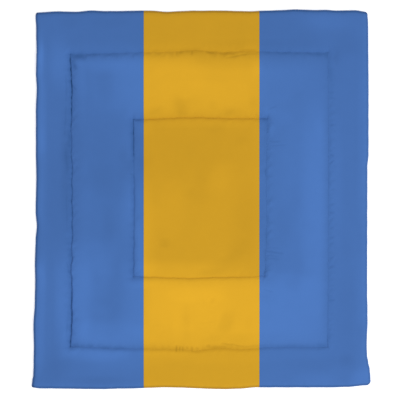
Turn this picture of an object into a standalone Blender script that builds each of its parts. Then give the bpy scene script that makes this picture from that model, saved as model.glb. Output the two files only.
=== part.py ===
"""A box-quilted comforter, laid out flat with its printed face up.

Two cloths, a face and a back, are sewn together all round with a filling
between them, and are quilted through in two rectangles, one inside the other.
The quilting parts the filling into a border, a ring and a centre panel. Sewn
through like this, the cloths and the filling are one closed solid.

Metres, +Z up. The comforter lies on the plane z = 0, with the origin under
its middle. +Y runs to its head end and +X to its right side, from above.
"""

import bmesh
import bpy
import numpy as np

# Driving dimensions: the whole comforter, and its two quilted rectangles
WIDTH = 2.014
LENGTH = 2.286
OUTER_BOX = {"left": -0.790, "right": 0.772, "foot": -0.9055, "head": 0.8915}
INNER_BOX = {"left": -0.411, "right": 0.394, "foot": -0.4754, "head": 0.4918}

# Heights: the closed edge, the face on a quilting row and what the filling adds
EDGE_THICKNESS = 0.005
SEWN_TOP = 0.010
GROOVE = 0.0035
CREASE = 0.006
BORDER_LOFT = 0.013
RING_LOFT = 0.026
CENTRE_LOFT = 0.011

# How far from a row or from the edge the cloth is still rising
CREASE_REACH = 0.009
EDGE_REACH = 0.034
BORDER_REACH = 0.065
RING_REACH = 0.170
CENTRE_REACH = 0.080
GROOVE_REACH = 0.036
RISE_POWER = 2.2

# Spacing of the cage's lines beside a row and in the open cloth
ROW_STEPS = (0.012, 0.036, 0.075)
OPEN_STEP = 0.100

# Radius of each corner's rounding
CORNERS = {"left foot": 0.006, "left head": 0.014, "right foot": 0.026, "right head": 0.016}

# Each side's and row's own wander: along it from the middle, and outwards
WANDER = {
    "left edge": (
        (-1.131, 0.0225), (-1.107, 0.0195), (-1.070, 0.0135), (-1.024, 0.0120),
        (-0.902, 0.0100), (-0.781, 0.0127), (-0.635, 0.0045), (-0.514, 0.0020),
        (-0.392, 0.0035), (-0.246, -0.0010), (-0.166, -0.0080), (-0.080, -0.0010),
        (0.142, -0.0050), (0.270, -0.0025), (0.560, -0.0025), (0.677, -0.0075),
        (0.774, -0.0030), (0.920, -0.0058), (1.050, -0.0040), (1.110, -0.0010),
    ),
    "right edge": (
        (-1.120, 0.0170), (-1.085, 0.0160), (-1.045, 0.0120), (-1.000, 0.0030),
        (-0.955, -0.0040), (-0.902, -0.0060), (-0.732, -0.0010), (-0.550, -0.0035),
        (0.191, -0.0020), (0.275, 0.0050), (0.677, 0.0052), (1.017, 0.0030),
        (1.080, 0.0020), (1.125, -0.0010),
    ),
    "foot edge": (
        (-1.007, -0.0030), (-0.957, 0.0030), (-0.605, 0.0067), (-0.471, 0.0036),
        (-0.210, -0.0036), (0.160, 0.0070), (0.225, 0.0050), (0.350, -0.0036),
        (0.800, -0.0036), (0.880, -0.0065), (0.990, -0.0165),
    ),
    "head edge": (
        (-1.007, -0.0095), (-0.860, -0.0028), (-0.763, -0.0055), (-0.666, 0.0020),
        (-0.560, -0.0015), (-0.320, 0.0020), (-0.210, -0.0050), (-0.060, 0.0010),
        (0.100, 0.0020), (0.280, -0.0020), (0.440, 0.0030), (0.573, 0.0088),
        (0.695, 0.0050), (0.760, 0.0060), (0.830, 0.0020), (0.930, 0.0040),
        (1.000, -0.0050),
    ),
    "left outer row": ((-0.878, 0.006), (-0.610, -0.005), (0.604, -0.005), (0.871, 0.006)),
    "right outer row": ((-0.884, -0.007), (-0.246, -0.001), (0.220, 0.005), (0.871, -0.007)),
    "foot outer row": (
        (-0.787, -0.012), (-0.435, 0.000), (-0.156, 0.006), (-0.034, 0.018),
        (0.112, 0.000), (0.258, 0.006), (0.549, -0.012), (0.689, -0.006),
    ),
    "head outer row": (
        (-0.793, -0.011), (-0.222, 0.001), (-0.034, 0.013), (0.112, 0.001),
        (0.270, 0.007), (0.537, 0.001), (0.756, -0.002),
    ),
    "left inner row": ((-0.470, 0.002), (0.000, -0.002), (0.480, 0.002)),
    "right inner row": ((-0.471, -0.009), (0.000, -0.001), (0.483, 0.009)),
    "foot inner row": ((-0.313, -0.001), (-0.058, 0.011), (0.063, 0.002), (0.379, -0.007)),
    "head inner row": ((-0.400, -0.006), (-0.034, 0.006), (0.170, 0.000), (0.380, 0.000)),
}

# Soft dents and swells of the face: their places, sizes, turn from +X and height
FOLD_COLUMNS = ("across", "along", "half_length", "half_width", "turn_deg", "height")
FOLDS = (
    (-0.556, -0.611, 0.100, 0.055, 20, -0.007),
    (-0.700, 0.331, 0.140, 0.050, 75, -0.005),
    (-0.585, 0.118, 0.110, 0.060, 60, -0.005),
    (0.500, -0.307, 0.220, 0.060, 88, -0.006),
    (0.660, -0.050, 0.700, 0.055, 90, 0.004),
    (-0.105, -0.700, 0.110, 0.040, 70, -0.006),
    (0.142, -0.732, 0.090, 0.040, 110, -0.004),
    (-0.228, -0.271, 0.060, 0.050, 0, -0.003),
    (0.233, -0.307, 0.080, 0.050, 30, -0.003),
    (-0.890, 0.500, 0.160, 0.070, 80, -0.003),
    (0.950, -1.060, 0.110, 0.060, 45, 0.005),
    (-0.940, -1.040, 0.120, 0.050, -50, -0.004),
)

BLUE = (0.0666, 0.165, 0.445, 1.0)


def eased(rows, at):
    """The second column of a two-column table at places in its first column.

    Between two rows the value eases from one to the other with no corner, and
    past the table's ends it keeps the end row's value.
    """
    places, values = np.array(rows).T
    row = np.clip(np.searchsorted(places, at) - 1, 0, len(places) - 2)
    share = np.clip((at - places[row]) / (places[row + 1] - places[row]), 0, 1)
    return values[row] + (values[row + 1] - values[row]) * share**2 * (3 - 2 * share)


def guides(low, high, half_size):
    """The two sides and the four rows that cross one direction, in order."""
    rows = [OUTER_BOX[low], INNER_BOX[low], INNER_BOX[high], OUTER_BOX[high]]
    return np.array([-half_size, *rows, half_size])


def cage_lines(across):
    """Places of the cage's lines: close beside each guide, OPEN_STEP or so apart between."""
    lines = []
    for low, high in zip(across, across[1:]):
        rising = [low, *(low + step for step in ROW_STEPS)]
        falling = [high - step for step in reversed(ROW_STEPS)]
        gaps = max(1, round((falling[0] - rising[-1]) / OPEN_STEP))
        between = np.linspace(rising[-1], falling[0], gaps + 1)[1:-1]
        lines += [*rising, *between, *falling]
    return np.array([*lines, across[-1]])


def rounded(x, y):
    """Flat places with the four square corners drawn in to quarter circles.

    Inside a corner's square, a and b run from 0 to 1 out to its two sides.
    Each shrinks by the root of 1 less half the other's square, which carries
    the square's sides onto the circle.
    """
    x = x.copy()
    y = y.copy()
    for name, radius in CORNERS.items():
        side = -1 if "left" in name else 1
        end = -1 if "foot" in name else 1
        a = (side * x - WIDTH / 2) / radius + 1
        b = (end * y - LENGTH / 2) / radius + 1
        inside = (a > 0) & (b > 0)
        a = a[inside]
        b = b[inside]
        x[inside] = side * (WIDTH / 2 + radius * (a * np.sqrt(1 - b**2 / 2) - 1))
        y[inside] = end * (LENGTH / 2 + radius * (b * np.sqrt(1 - a**2 / 2) - 1))
    return x, y


def wandered(place, along, across, low, high):
    """Places moved with the sides and rows that they lie between.

    Each guide moves outwards by its own table, and a place between two guides
    moves by a share of both.
    """
    names = [f"{low} edge", f"{low} outer row", f"{low} inner row"]
    names += [f"{high} inner row", f"{high} outer row", f"{high} edge"]
    shifts = np.array([np.sign(guide) * eased(WANDER[name], along) for guide, name in zip(across, names)])
    gap = np.clip(np.searchsorted(across, place, side="right") - 1, 0, len(across) - 2)
    share = (place - across[gap]) / (across[gap + 1] - across[gap])
    each = np.arange(len(place))
    return place + shifts[gap, each] * (1 - share) + shifts[gap + 1, each] * share


def from_box(x, y, box):
    """Distance from a quilted rectangle: positive outside it, negative inside."""
    past_x = np.maximum(box["left"] - x, x - box["right"])
    past_y = np.maximum(box["foot"] - y, y - box["head"])
    outside = np.hypot(np.maximum(past_x, 0), np.maximum(past_y, 0))
    return outside + np.minimum(np.maximum(past_x, past_y), 0)


def rise(distance, reach):
    """From 0 at a sewn place to 1 at reach: steep first, then level."""
    return 1 - (1 - np.clip(distance / reach, 0, 1)) ** RISE_POWER


def folds(x, y):
    """The soft dents and swells, each a smooth bump that ends at its half sizes."""
    height = np.zeros_like(x)
    for row in FOLDS:
        fold = dict(zip(FOLD_COLUMNS, row))
        turn = np.radians(fold["turn_deg"])
        dx = x - fold["across"]
        dy = y - fold["along"]
        u = (dx * np.cos(turn) + dy * np.sin(turn)) / fold["half_length"]
        v = (dy * np.cos(turn) - dx * np.sin(turn)) / fold["half_width"]
        height += fold["height"] * np.clip(1 - u**2 - v**2, 0, 1) ** 2
    return height


def face_height(x, y):
    """The face cloth: sewn down at the rows and the edge, and crowned between them."""
    edge = np.minimum(WIDTH / 2 - abs(x), LENGTH / 2 - abs(y))
    outer = from_box(x, y, OUTER_BOX)
    inner = from_box(x, y, INNER_BOX)
    border = BORDER_LOFT * rise(edge, EDGE_REACH) * rise(outer, BORDER_REACH)
    ring = RING_LOFT * rise(-outer, RING_REACH) * rise(inner, RING_REACH)
    centre = CENTRE_LOFT * rise(-inner, CENTRE_REACH)
    crown = np.where(outer > 0, border, np.where(inner < 0, centre, ring))
    nearest = np.minimum(np.minimum(abs(outer), abs(inner)), edge)
    crease = CREASE * (1 - np.exp(-nearest / CREASE_REACH))
    return SEWN_TOP + crease + crown + folds(x, y) * rise(nearest, EDGE_REACH)


def back_height(x, y):
    """The back cloth: flat on the surface, lifted at the edge and under the rows."""
    edge = np.minimum(WIDTH / 2 - abs(x), LENGTH / 2 - abs(y))
    row = np.minimum(abs(from_box(x, y, OUTER_BOX)), abs(from_box(x, y, INNER_BOX)))
    lifted = (SEWN_TOP - EDGE_THICKNESS) * (1 - rise(edge, EDGE_REACH))
    return lifted + GROOVE * (1 - rise(row, GROOVE_REACH))


def fabric(name, colour):
    """A plain woven cloth, dull and not metallic."""
    material = bpy.data.materials.new(name)
    material.use_nodes = True
    shader = material.node_tree.nodes["Principled BSDF"]
    shader.inputs["Base Color"].default_value = colour
    shader.inputs["Roughness"].default_value = 0.85
    shader.inputs["Metallic"].default_value = 0.0
    return material


def comforter():
    """A flat grid extruded into a closed slab, whose points then go to the two cloths."""
    across = guides("left", "right", WIDTH / 2)
    along = guides("foot", "head", LENGTH / 2)
    columns = cage_lines(across)
    rows = cage_lines(along)
    cage = bmesh.new()
    bmesh.ops.create_grid(cage, x_segments=len(columns) - 1, y_segments=len(rows) - 1, size=1)
    extruded = bmesh.ops.extrude_face_region(cage, geom=cage.faces[:])
    face_side = {part for part in extruded["geom"] if isinstance(part, bmesh.types.BMVert)}
    bmesh.ops.recalc_face_normals(cage, faces=cage.faces)

    flat = np.array([point.co for point in cage.verts])
    x = columns[np.rint((flat[:, 0] + 1) / 2 * (len(columns) - 1)).astype(int)]
    y = rows[np.rint((flat[:, 1] + 1) / 2 * (len(rows) - 1)).astype(int)]
    on_face = np.array([point in face_side for point in cage.verts])
    z = np.where(on_face, face_height(x, y), back_height(x, y))
    x, y = rounded(x, y)
    places = [wandered(x, y, across, "left", "right"), wandered(y, x, along, "foot", "head"), z]
    moved = np.column_stack(places)
    middle = (moved.min(axis=0) + moved.max(axis=0)) / 2
    moved[:, :2] -= middle[:2]
    for point, place in zip(cage.verts, moved):
        point.co = place

    mesh = bpy.data.meshes.new("comforter")
    cage.to_mesh(mesh)
    cage.free()
    mesh.shade_smooth()
    mesh.materials.append(fabric("printed cloth", BLUE))
    return bpy.data.objects.new("comforter", mesh)


for old in list(bpy.data.objects):
    bpy.data.objects.remove(old)
collection = bpy.data.collections.new("comforter")
bpy.context.scene.collection.children.link(collection)
collection.objects.link(comforter())
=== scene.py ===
# %% [markdown]
# # A box-quilted comforter
#
# A comforter is a flat bag of two cloths with a loose filling between them. The cloths are sewn
# together all round, and stitched through in rows that keep the filling in its place. Here two
# rectangles of stitches, one inside the other, part it into a border, a ring and a centre panel.
# The lesson makes the filled cloth as one closed surface worked out with numpy, then the rows of
# thread, and last the printed cloth as a material.

import bmesh
import bpy
import numpy as np
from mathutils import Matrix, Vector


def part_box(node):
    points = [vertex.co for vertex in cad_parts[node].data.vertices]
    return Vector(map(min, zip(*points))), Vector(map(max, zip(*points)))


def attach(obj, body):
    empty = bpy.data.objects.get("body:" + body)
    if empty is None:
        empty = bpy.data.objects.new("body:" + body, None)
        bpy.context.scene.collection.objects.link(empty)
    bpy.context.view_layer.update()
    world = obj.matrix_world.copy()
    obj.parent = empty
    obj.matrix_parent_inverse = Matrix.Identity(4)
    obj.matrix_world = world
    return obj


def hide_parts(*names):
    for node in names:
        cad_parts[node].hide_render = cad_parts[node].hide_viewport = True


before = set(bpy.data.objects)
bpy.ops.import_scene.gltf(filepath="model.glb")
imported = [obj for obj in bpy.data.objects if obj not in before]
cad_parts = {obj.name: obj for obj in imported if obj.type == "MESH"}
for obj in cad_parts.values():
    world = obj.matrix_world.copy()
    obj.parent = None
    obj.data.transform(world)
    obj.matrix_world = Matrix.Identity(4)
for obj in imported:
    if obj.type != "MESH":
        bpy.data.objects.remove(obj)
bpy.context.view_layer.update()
solid_low, solid_high = (np.array(corner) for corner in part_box("comforter"))
print("the solid is", (solid_high - solid_low).round(3), "m")

# %% [markdown]
# ## The camera, the floor and the light
#
# The comforter is seen straight from above, and its sides stay parallel, so the camera stands
# high over it with a long lens. One wide soft lamp stands to the right, towards the foot end, so
# cloth that faces that way is a little brighter and the rows cast no hard shadow. A pale floor and
# an even pale surround give the rest of the light.

# %% Camera over the cloth
M_PER_PX = 0.006075
IMAGE_PX = 400
OUTLINE_MIDDLE_PX = (201.12, 199.33)
LENS_MM = 135
SENSOR_MM = 36


def placed(name, data):
    """An object with these data, in the scene."""
    made = bpy.data.objects.new(name, data)
    bpy.context.scene.collection.objects.link(made)
    return made


def make_camera():
    """A camera straight above, far enough for one image to hold IMAGE_PX times M_PER_PX."""
    data = bpy.data.cameras.new("above")
    data.lens = LENS_MM
    data.sensor_width = SENSOR_MM
    camera = placed("above", data)
    off = (IMAGE_PX / 2 - np.array(OUTLINE_MIDDLE_PX)) * M_PER_PX
    distance = IMAGE_PX * M_PER_PX * LENS_MM / SENSOR_MM
    camera.location = (off[0], -off[1], distance)
    bpy.context.scene.camera = camera
    print("camera height", round(distance, 2), "m")


make_camera()

# %% Floor
FLOOR_HALF = 12
FLOOR_DROP = 0.0005
PALE = (0.95, 0.95, 0.95, 1)
WHITE = (1, 1, 1, 1)
FLOOR_GLOW = 0.3
FLOOR_ROUGHNESS = 0.9


def surfaced(name, points, faces):
    """A mesh of points and faces as an object in the scene."""
    mesh = bpy.data.meshes.new(name)
    mesh.from_pydata(points, [], faces)
    return placed(name, mesh)


def material_of(name, values):
    """A material with these numbers and colours on its shader's own sockets."""
    material = bpy.data.materials.new(name)
    material.use_nodes = True
    shader = material.node_tree.nodes["Principled BSDF"]
    for socket, value in values.items():
        shader.inputs[socket].default_value = value
    return material


def make_floor():
    """A wide flat sheet just under z = 0 with a matte near-white paint that glows a little."""
    far = FLOOR_HALF
    corners = [(x, y, -FLOOR_DROP) for x, y in ((-far, -far), (far, -far), (far, far), (-far, far))]
    floor = surfaced("floor", corners, [(0, 1, 2, 3)])
    paint = {"Base Color": PALE, "Roughness": FLOOR_ROUGHNESS}
    glow = {"Emission Color": WHITE, "Emission Strength": FLOOR_GLOW}
    floor.data.materials.append(material_of("floor_paint", paint | glow))


make_floor()

# %% Light
LAMP_PLACE = (7.0, -5.6, 9.6)
LAMP_SIZE = 4
LAMP_WATTS = 696
SURROUND = 0.73


def make_lamp():
    """A square area light that faces the middle of the cloth and isn't seen itself."""
    data = bpy.data.lights.new("key", "AREA")
    data.shape = "SQUARE"
    data.size = LAMP_SIZE
    data.energy = LAMP_WATTS
    lamp = placed("key", data)
    lamp.location = LAMP_PLACE
    lamp.rotation_mode = "QUATERNION"
    lamp.rotation_quaternion = lamp.location.to_track_quat("Z", "Y")
    lamp.visible_camera = False


def make_surround():
    """An even pale sky that fills every shadow."""
    world = bpy.data.worlds.new("surround")
    world.use_nodes = True
    sky = world.node_tree.nodes["Background"].inputs
    sky["Color"].default_value = WHITE
    sky["Strength"].default_value = SURROUND
    bpy.context.scene.world = world


make_lamp()
make_surround()
bpy.context.scene.view_settings.view_transform = "Standard"

# %% [markdown]
# ## The lie of the sides and the rows
#
# Sewing draws cloth in, so no side or row is straight. The design itself has straight sides and
# rows, and everything is worked out at its flat places. Each side and row then has a short table
# of how far it strays outwards at places along it, and the cloth between two of them strays by a
# share of both. Moving finished points is simpler than shaping the cloth along crooked rows.

# %% Straight sides and rows
WIDTH = 2.014
LENGTH = 2.286
EDGE = {"left": -WIDTH / 2, "right": WIDTH / 2, "foot": -LENGTH / 2, "head": LENGTH / 2}
OUTER = {"left": -0.790, "right": 0.772, "foot": -0.9055, "head": 0.8915}
INNER = {"left": -0.411, "right": 0.394, "foot": -0.4754, "head": 0.4918}
CORNERS = {"left foot": 0.006, "left head": 0.014, "right foot": 0.026, "right head": 0.016}


def straight_rows():
    """Each side and row: the direction across it, its place that way, and its two ends."""
    rows = {}
    for kind, at in {"outer": OUTER, "inner": INNER, "edge": EDGE}.items():
        for name in ("left", "right"):
            rows[f"{name} {kind}"] = "x", at[name], at["foot"], at["head"]
        for name in ("foot", "head"):
            rows[f"{name} {kind}"] = "y", at[name], at["left"], at["right"]
    return rows


ROWS = straight_rows()
ACROSS = ("left edge", "left outer", "left inner", "right inner", "right outer", "right edge")
ALONG = ("foot edge", "foot outer", "foot inner", "head inner", "head outer", "head edge")


def guides(names):
    """The places of the sides and rows that cross one direction."""
    return np.array([ROWS[name][1] for name in names])


# %% How far they stray
# Millimetres along the side or row, and tenths of a millimetre outwards
WANDER = {
    "left edge": (
        (-1131, 225), (-1107, 195), (-1070, 135), (-1024, 120), (-902, 100), (-781, 127),
        (-635, 45), (-514, 20), (-392, 35), (-246, -10), (-166, -80), (-80, -10), (142, -50),
        (270, -25), (560, -25), (677, -75), (774, -30), (920, -58), (1050, -40), (1110, -10),
    ),
    "right edge": (
        (-1120, 170), (-1085, 160), (-1045, 120), (-1000, 30), (-955, -40), (-902, -60),
        (-732, -10), (-550, -35), (191, -20), (275, 50), (677, 52), (1017, 30), (1080, 20),
        (1125, -10),
    ),
    "foot edge": (
        (-1007, -30), (-957, 30), (-605, 67), (-471, 36), (-210, -36), (160, 70), (225, 50),
        (350, -36), (800, -36), (880, -65), (990, -165),
    ),
    "head edge": (
        (-1007, -95), (-860, -28), (-763, -55), (-666, 20), (-560, -15), (-320, 20), (-210, -50),
        (-60, 10), (100, 20), (280, -20), (440, 30), (573, 88), (695, 50), (760, 60), (830, 20),
        (930, 40), (1000, -50),
    ),
    "left outer": (
        (-884, 56), (-811, 0), (-702, -40), (-666, -10), (-556, -40), (-483, -10), (-447, 40),
        (-404, 10), (-374, -40), (-301, 0), (-246, -55), (-82, -50), (-3, -30), (63, -45),
        (100, -24), (209, -56), (282, 20), (319, 0), (355, -20), (428, 47), (483, -10), (604, -15),
        (683, -35), (756, 10), (865, 60),
    ),
    "right outer": (
        (-884, -70), (-246, -50), (220, -40), (871, -60),
    ),
    "foot outer": (
        (-787, -120), (-435, -10), (-156, 20), (-34, 110), (112, -30), (258, 30), (430, -90),
        (549, -120), (689, -80),
    ),
    "head outer": (
        (-793, -110), (-222, 10), (-34, 130), (112, 10), (270, 70), (537, 10), (756, -20),
    ),
    "left inner": (
        (-470, 20), (0, -20), (480, 20),
    ),
    "right inner": (
        (-471, -140), (-420, -70), (-360, -60), (-250, -10), (-120, 10), (0, -10), (150, -40),
        (300, 0), (483, 40),
    ),
    "foot inner": (
        (-380, -80), (-250, -30), (-130, 10), (-50, 30), (60, -30), (300, -60), (379, -120),
    ),
    "head inner": (
        (-400, -60), (-34, 60), (170, 0), (380, 0),
    ),
}
WANDER = {name: np.array(rows) / (1000, 10000) for name, rows in WANDER.items()}


def eased(rows, at):
    """The second column of a two-column table at places in its first, eased between two rows."""
    places, values = np.array(rows).T
    row = np.clip(np.searchsorted(places, at) - 1, 0, len(places) - 2)
    share = np.clip((at - places[row]) / (places[row + 1] - places[row]), 0, 1)
    return values[row] + (values[row + 1] - values[row]) * share**2 * (3 - 2 * share)


# %% Small uneven ripples
RIPPLE_WAVES = 5
RIPPLE_PITCHES = (0.6, 1.7)


def ripple(along, pitch, seed):
    """Uneven waves of about 1 in height: a few sines near the pitch, each with its own start."""
    chance = np.random.default_rng(seed)
    pitches = pitch * chance.uniform(*RIPPLE_PITCHES, RIPPLE_WAVES)
    starts = chance.uniform(0, 2 * np.pi, RIPPLE_WAVES)
    waves = [np.sin(2 * np.pi * along / each + start) for each, start in zip(pitches, starts)]
    return np.sum(waves, axis=0) / np.sqrt(RIPPLE_WAVES)


# %% From the flat design to the cloth's lie
ROW_STRAY = 0.0010
EDGE_STRAY = 0.0003
STRAY_PITCH = 0.085
STRAY_SEED = 40
# Where the outline's middle would lie without being moved
MIDDLE = (-0.0029, 0.0008)


def wandered(place, along, names):
    """Places moved with the guides beside them, each by its own table and its own small ripple."""
    across = guides(names)
    shifts = []
    for seed, (guide, name) in enumerate(zip(across, names), STRAY_SEED):
        most = EDGE_STRAY if "edge" in name else ROW_STRAY
        stray = most * ripple(along, STRAY_PITCH, seed)
        shifts.append(np.sign(guide) * (eased(WANDER[name], along) + stray))
    shifts = np.array(shifts)
    gap = np.clip(np.searchsorted(across, place, side="right") - 1, 0, len(across) - 2)
    share = (place - across[gap]) / (across[gap + 1] - across[gap])
    each = np.arange(len(place))
    return place + shifts[gap, each] * (1 - share) + shifts[gap + 1, each] * share


def rounded(x, y):
    """Flat places with the square corners drawn in to quarter circles.

    Inside a corner's square, a and b run from 0 to 1 out to its two sides. Each shrinks by the
    root of 1 less half the other's square, which carries the sides onto the circle.
    """
    x = x.copy()
    y = y.copy()
    for name, radius in CORNERS.items():
        side = -1 if "left" in name else 1
        end = -1 if "foot" in name else 1
        a = (side * x - WIDTH / 2) / radius + 1
        b = (end * y - LENGTH / 2) / radius + 1
        inside = (a > 0) & (b > 0)
        a = a[inside]
        b = b[inside]
        x[inside] = side * (WIDTH / 2 + radius * (a * np.sqrt(1 - b**2 / 2) - 1))
        y[inside] = end * (LENGTH / 2 + radius * (b * np.sqrt(1 - a**2 / 2) - 1))
    return x, y


def laid(x, y):
    """Flat design places moved to where the cloth lies, with the whole outline over the origin."""
    x, y = rounded(x, y)
    return wandered(x, y, ACROSS) - MIDDLE[0], wandered(y, x, ALONG) - MIDDLE[1]


# %% [markdown]
# ## How high the cloth stands
#
# At a row the stitches hold the face down. Beside it the cloth climbs a short steep wall, and
# then a long crown that levels out. One profile for every row would look machine-made, because
# each row pulls a little differently on its two sides, so each side of each row has its own line
# in a table.

# %% Places beside a row


def beside(name, x, y):
    """Distance from a row and the place along it. Past the row's ends it counts double."""
    direction, place, low, high = ROWS[name]
    off, along = (x - place, y) if direction == "x" else (y - place, x)
    past = np.maximum(np.maximum(low - along, along - high), 0)
    return np.hypot(off, 2 * past), along


def panel_of(x, y):
    """Which panel each place is in."""
    in_outer, in_inner = (
        (x > at["left"]) & (x < at["right"]) & (y > at["foot"]) & (y < at["head"])
        for at in (OUTER, INNER)
    )
    return np.where(in_inner, "centre", np.where(in_outer, "ring", "border"))


# %% The shade painted on a row


def named(row, units):
    """A table's row as named values, each over how many of its unit make 1."""
    return {name: value / per for (name, per), value in zip(units.items(), row)}


def changed(table, row, along):
    """A row's factor at places along it, from one of the tables here, or 1 where it has none."""
    return eased(table[row], along) if row in table else 1.0


# How dark the shade painted on the row's own line is in hundredths, how far that reaches in tenths
# of a millimetre, and how sharply it ends there. On the sewn edge this is a painted dark line where
# the cloth turns down
LINE_UNITS = {"deep": 100, "reach": 10000, "power": 1}
LINES = {
    "left outer": (34, 34, 2),
    "left inner": (17, 28, 2),
    "head outer": (2, 140, 2),
    "head inner": (4, 30, 2),
    "foot outer": (3, 140, 2),
    "left edge": (50, 134, 6),
    "right edge": (30, 128, 6),
    "foot edge": (49, 128, 6),
    "head edge": (50, 140, 6),
}
# How that painted shade changes along two of the rows
DEEP_ALONG = {
    "left outer": (
        (-0.9, 1.2), (-0.7, 1.1), (-0.45, 0.2), (-0.38, 0.05), (-0.3, 0.1), (-0.2, 1.1),
        (0.05, 1.15), (0.28, 1), (0.34, 0.3), (0.41, 0.35), (0.47, 1.3), (0.6, 1.5), (0.75, 2.3),
        (0.855, 2.1), (0.885, 0.5),
    ),
    "left inner": (
        (-0.47, 0.9), (-0.2, 0.9), (-0.1, 0.7), (0.05, 0.75), (0.12, 1.1), (0.18, 0.8), (0.24, 0.9),
        (0.3, 2), (0.48, 2.4),
    ),
}
DEEP_UNEVEN = 0.35
DEEP_UNEVEN_PITCH = 0.055
DEEP_LIMITS = (0.3, 1.7)
DEEP_SEED = 900


def painted_row_shade(name, side, distance, along, spread, seed):
    """The shade painted beside one side of a row, as how much darker its colour is.

    A bell curve of the distance, and on the row's own line an exponential of a power of it. Along
    a row, both come and go a little.
    """
    deep = side["shade"] * np.exp(-((distance / (side["shade_reach"] * spread)) ** 2))
    if name in LINES:
        line = named(LINES[name], LINE_UNITS)
        on_line = line["deep"] * np.exp(-((distance / line["reach"]) ** line["power"]))
        deep += on_line * changed(DEEP_ALONG, name, along)
    if "edge" not in name:
        uneven = 1 + DEEP_UNEVEN * ripple(along, DEEP_UNEVEN_PITCH, DEEP_SEED + seed)
        deep *= np.clip(uneven, *DEEP_LIMITS)
    return deep


# %% The sides of the rows
# How tight the wall is in hundredths, the reach of the wall and of the crown, where swells start,
# how dark the shade painted beside the row is in hundredths and its reach, how high its gathers
# stand in tenths of a millimetre, and how far from the row. The reaches and other places are in
# millimetres
SIDE_UNITS = {
    "tight": 100, "wall_reach": 1000, "crown_reach": 1000, "swell_from": 1000,
    "shade": 100, "shade_reach": 1000, "gather": 10000, "run": 1000,
}
SIDES = {
    "border left outer": (46, 4, 60, 10, 11, 22, 9, 22),
    "border right outer": (0, 8, 40, 14, 1, 20, 21, 24),
    "border foot outer": (3, 6, 20, 4, 0, 10, 4, 18),
    "border head outer": (32, 7, 60, 14, 4, 14, 5, 18),
    "border left edge": (75, 6, 22, 10, 0, 6, 6, 12),
    "border right edge": (60, 7, 26, 12, 0, 6, 6, 12),
    "border foot edge": (70, 7, 26, 12, 0, 6, 6, 12),
    "border head edge": (75, 6, 22, 12, 0, 6, 6, 12),
    "ring left outer": (38, 3, 93, 8, 1, 18, 9, 18),
    "ring right outer": (0, 12, 150, 55, 2, 22, 6, 20),
    "ring foot outer": (3, 10, 58, 40, 4, 20, 6, 18),
    "ring head outer": (36, 10, 110, 60, 7, 26, 10, 20),
    "ring left inner": (32, 4, 90, 18, 10, 18, 4, 14),
    "ring right inner": (0, 9, 140, 24, 1, 20, 15, 26),
    "ring foot inner": (15, 6, 22, 5, 0, 9, 4, 14),
    "ring head inner": (48, 6, 90, 40, 1, 14, 6, 14),
    "centre left inner": (8, 3, 70, 10, 0, 7, 4, 14),
    "centre right inner": (0, 9, 81, 24, 2, 16, 8, 22),
    "centre foot inner": (3, 5, 60, 12, 0, 9, 4, 14),
    "centre head inner": (48, 6, 80, 20, 0, 9, 6, 14),
}


def sides_of(panel):
    """Each side of a row in a panel: its place in the table, the row, and its named values."""
    for seed, (name, values) in enumerate(SIDES.items()):
        if name.startswith(panel):
            yield seed, name.removeprefix(panel + " "), named(values, SIDE_UNITS)


# %% How hard the rows hold
# How high each row and edge stands over the sewn cloth where the thread holds it fully
STANDS = {
    "left outer": 0.0070, "right outer": 0.0212, "foot outer": 0.0157, "head outer": 0.0073,
    "left inner": 0.0077, "right inner": 0.0182, "foot inner": 0.0185, "head inner": 0.0057,
    "left edge": 0.0028, "right edge": 0.0044, "foot edge": 0.0033, "head edge": 0.0028,
}
# How hard the thread holds along some of the rows
HOLD_ALONG = {
    "left outer": ((-0.9, 1), (-0.68, 1), (-0.56, 0.72), (-0.2, 0.85), (0.6, 1)),
    "left inner": (
        (-0.47, 0.8), (-0.25, 0.85), (-0.2, 0.55), (-0.15, 0.55), (-0.1, 0.8), (0.12, 0.85),
        (0.18, 0.6), (0.23, 0.6), (0.28, 1), (0.48, 1.1),
    ),
    "foot inner": (
        (-0.4, 0.32), (-0.08, 0.38), (-0.05, 0.3), (-0.01, 0.3), (0.03, 0.55), (0.3, 0.55),
        (0.38, 0.6),
    ),
    "foot outer": (
        (-0.79, 0.5), (-0.3, 0.4), (-0.12, 0.42), (0.02, 0.86), (0.7, 0.82), (0.77, 0.6),
    ),
    "head outer": (
        (-0.79, 0.85), (-0.4, 0.48), (-0.05, 0.48), (0.1, 0.84), (0.3, 0.74), (0.7, 0.74),
        (0.77, 0.5),
    ),
    "right outer": ((-0.905, 0.6), (-0.84, 1), (0.82, 1), (0.89, 0.5)),
    "right inner": ((-0.47, 0.95), (-0.3, 0.82), (-0.1, 0.88), (0.1, 1), (0.48, 1)),
}
# Where a side's own pull fades, because the row that it meets has already drawn the cloth down
PULL_ALONG = {
    "ring right outer": ((0.79, 1), (0.86, 0.38), (OUTER["head"], 0)),
    "centre right inner": ((0.42, 1), (0.47, 0.38), (INNER["head"], 0)),
}
WALL = 0.011
LOFT = {"border": 0.011, "ring": 0.017, "centre": 0.011}


def pulled(side, stands, loft, hold):
    """How tight a side's wall is and how much of its panel's loft it draws down at the row.

    A row that isn't held stands at the lower panels' full height, and a held one at its own. The
    wall gives its tightness, and the crown gives what is left, so both sides meet at one height.
    """
    tight = hold * side["tight"]
    lower = WALL + min(LOFT.values())
    stands = lower - hold * (lower - stands)
    return tight, np.clip((WALL * (1 - tight) + loft - stands) / loft, 0, 1)


# %% Walls and crowns
SEWN_TOP = 0.006
RISE_POWER = 1.7
WALL_UNEVEN = 0.30
WALL_UNEVEN_PITCH = 0.075
WALL_LEAST = 0.5
WALL_SEED = 700


def rise(distance, reach):
    """From 0 at a sewn place to 1 at reach: steep first, then level."""
    return 1 - (1 - np.clip(distance / reach, 0, 1)) ** RISE_POWER


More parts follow.
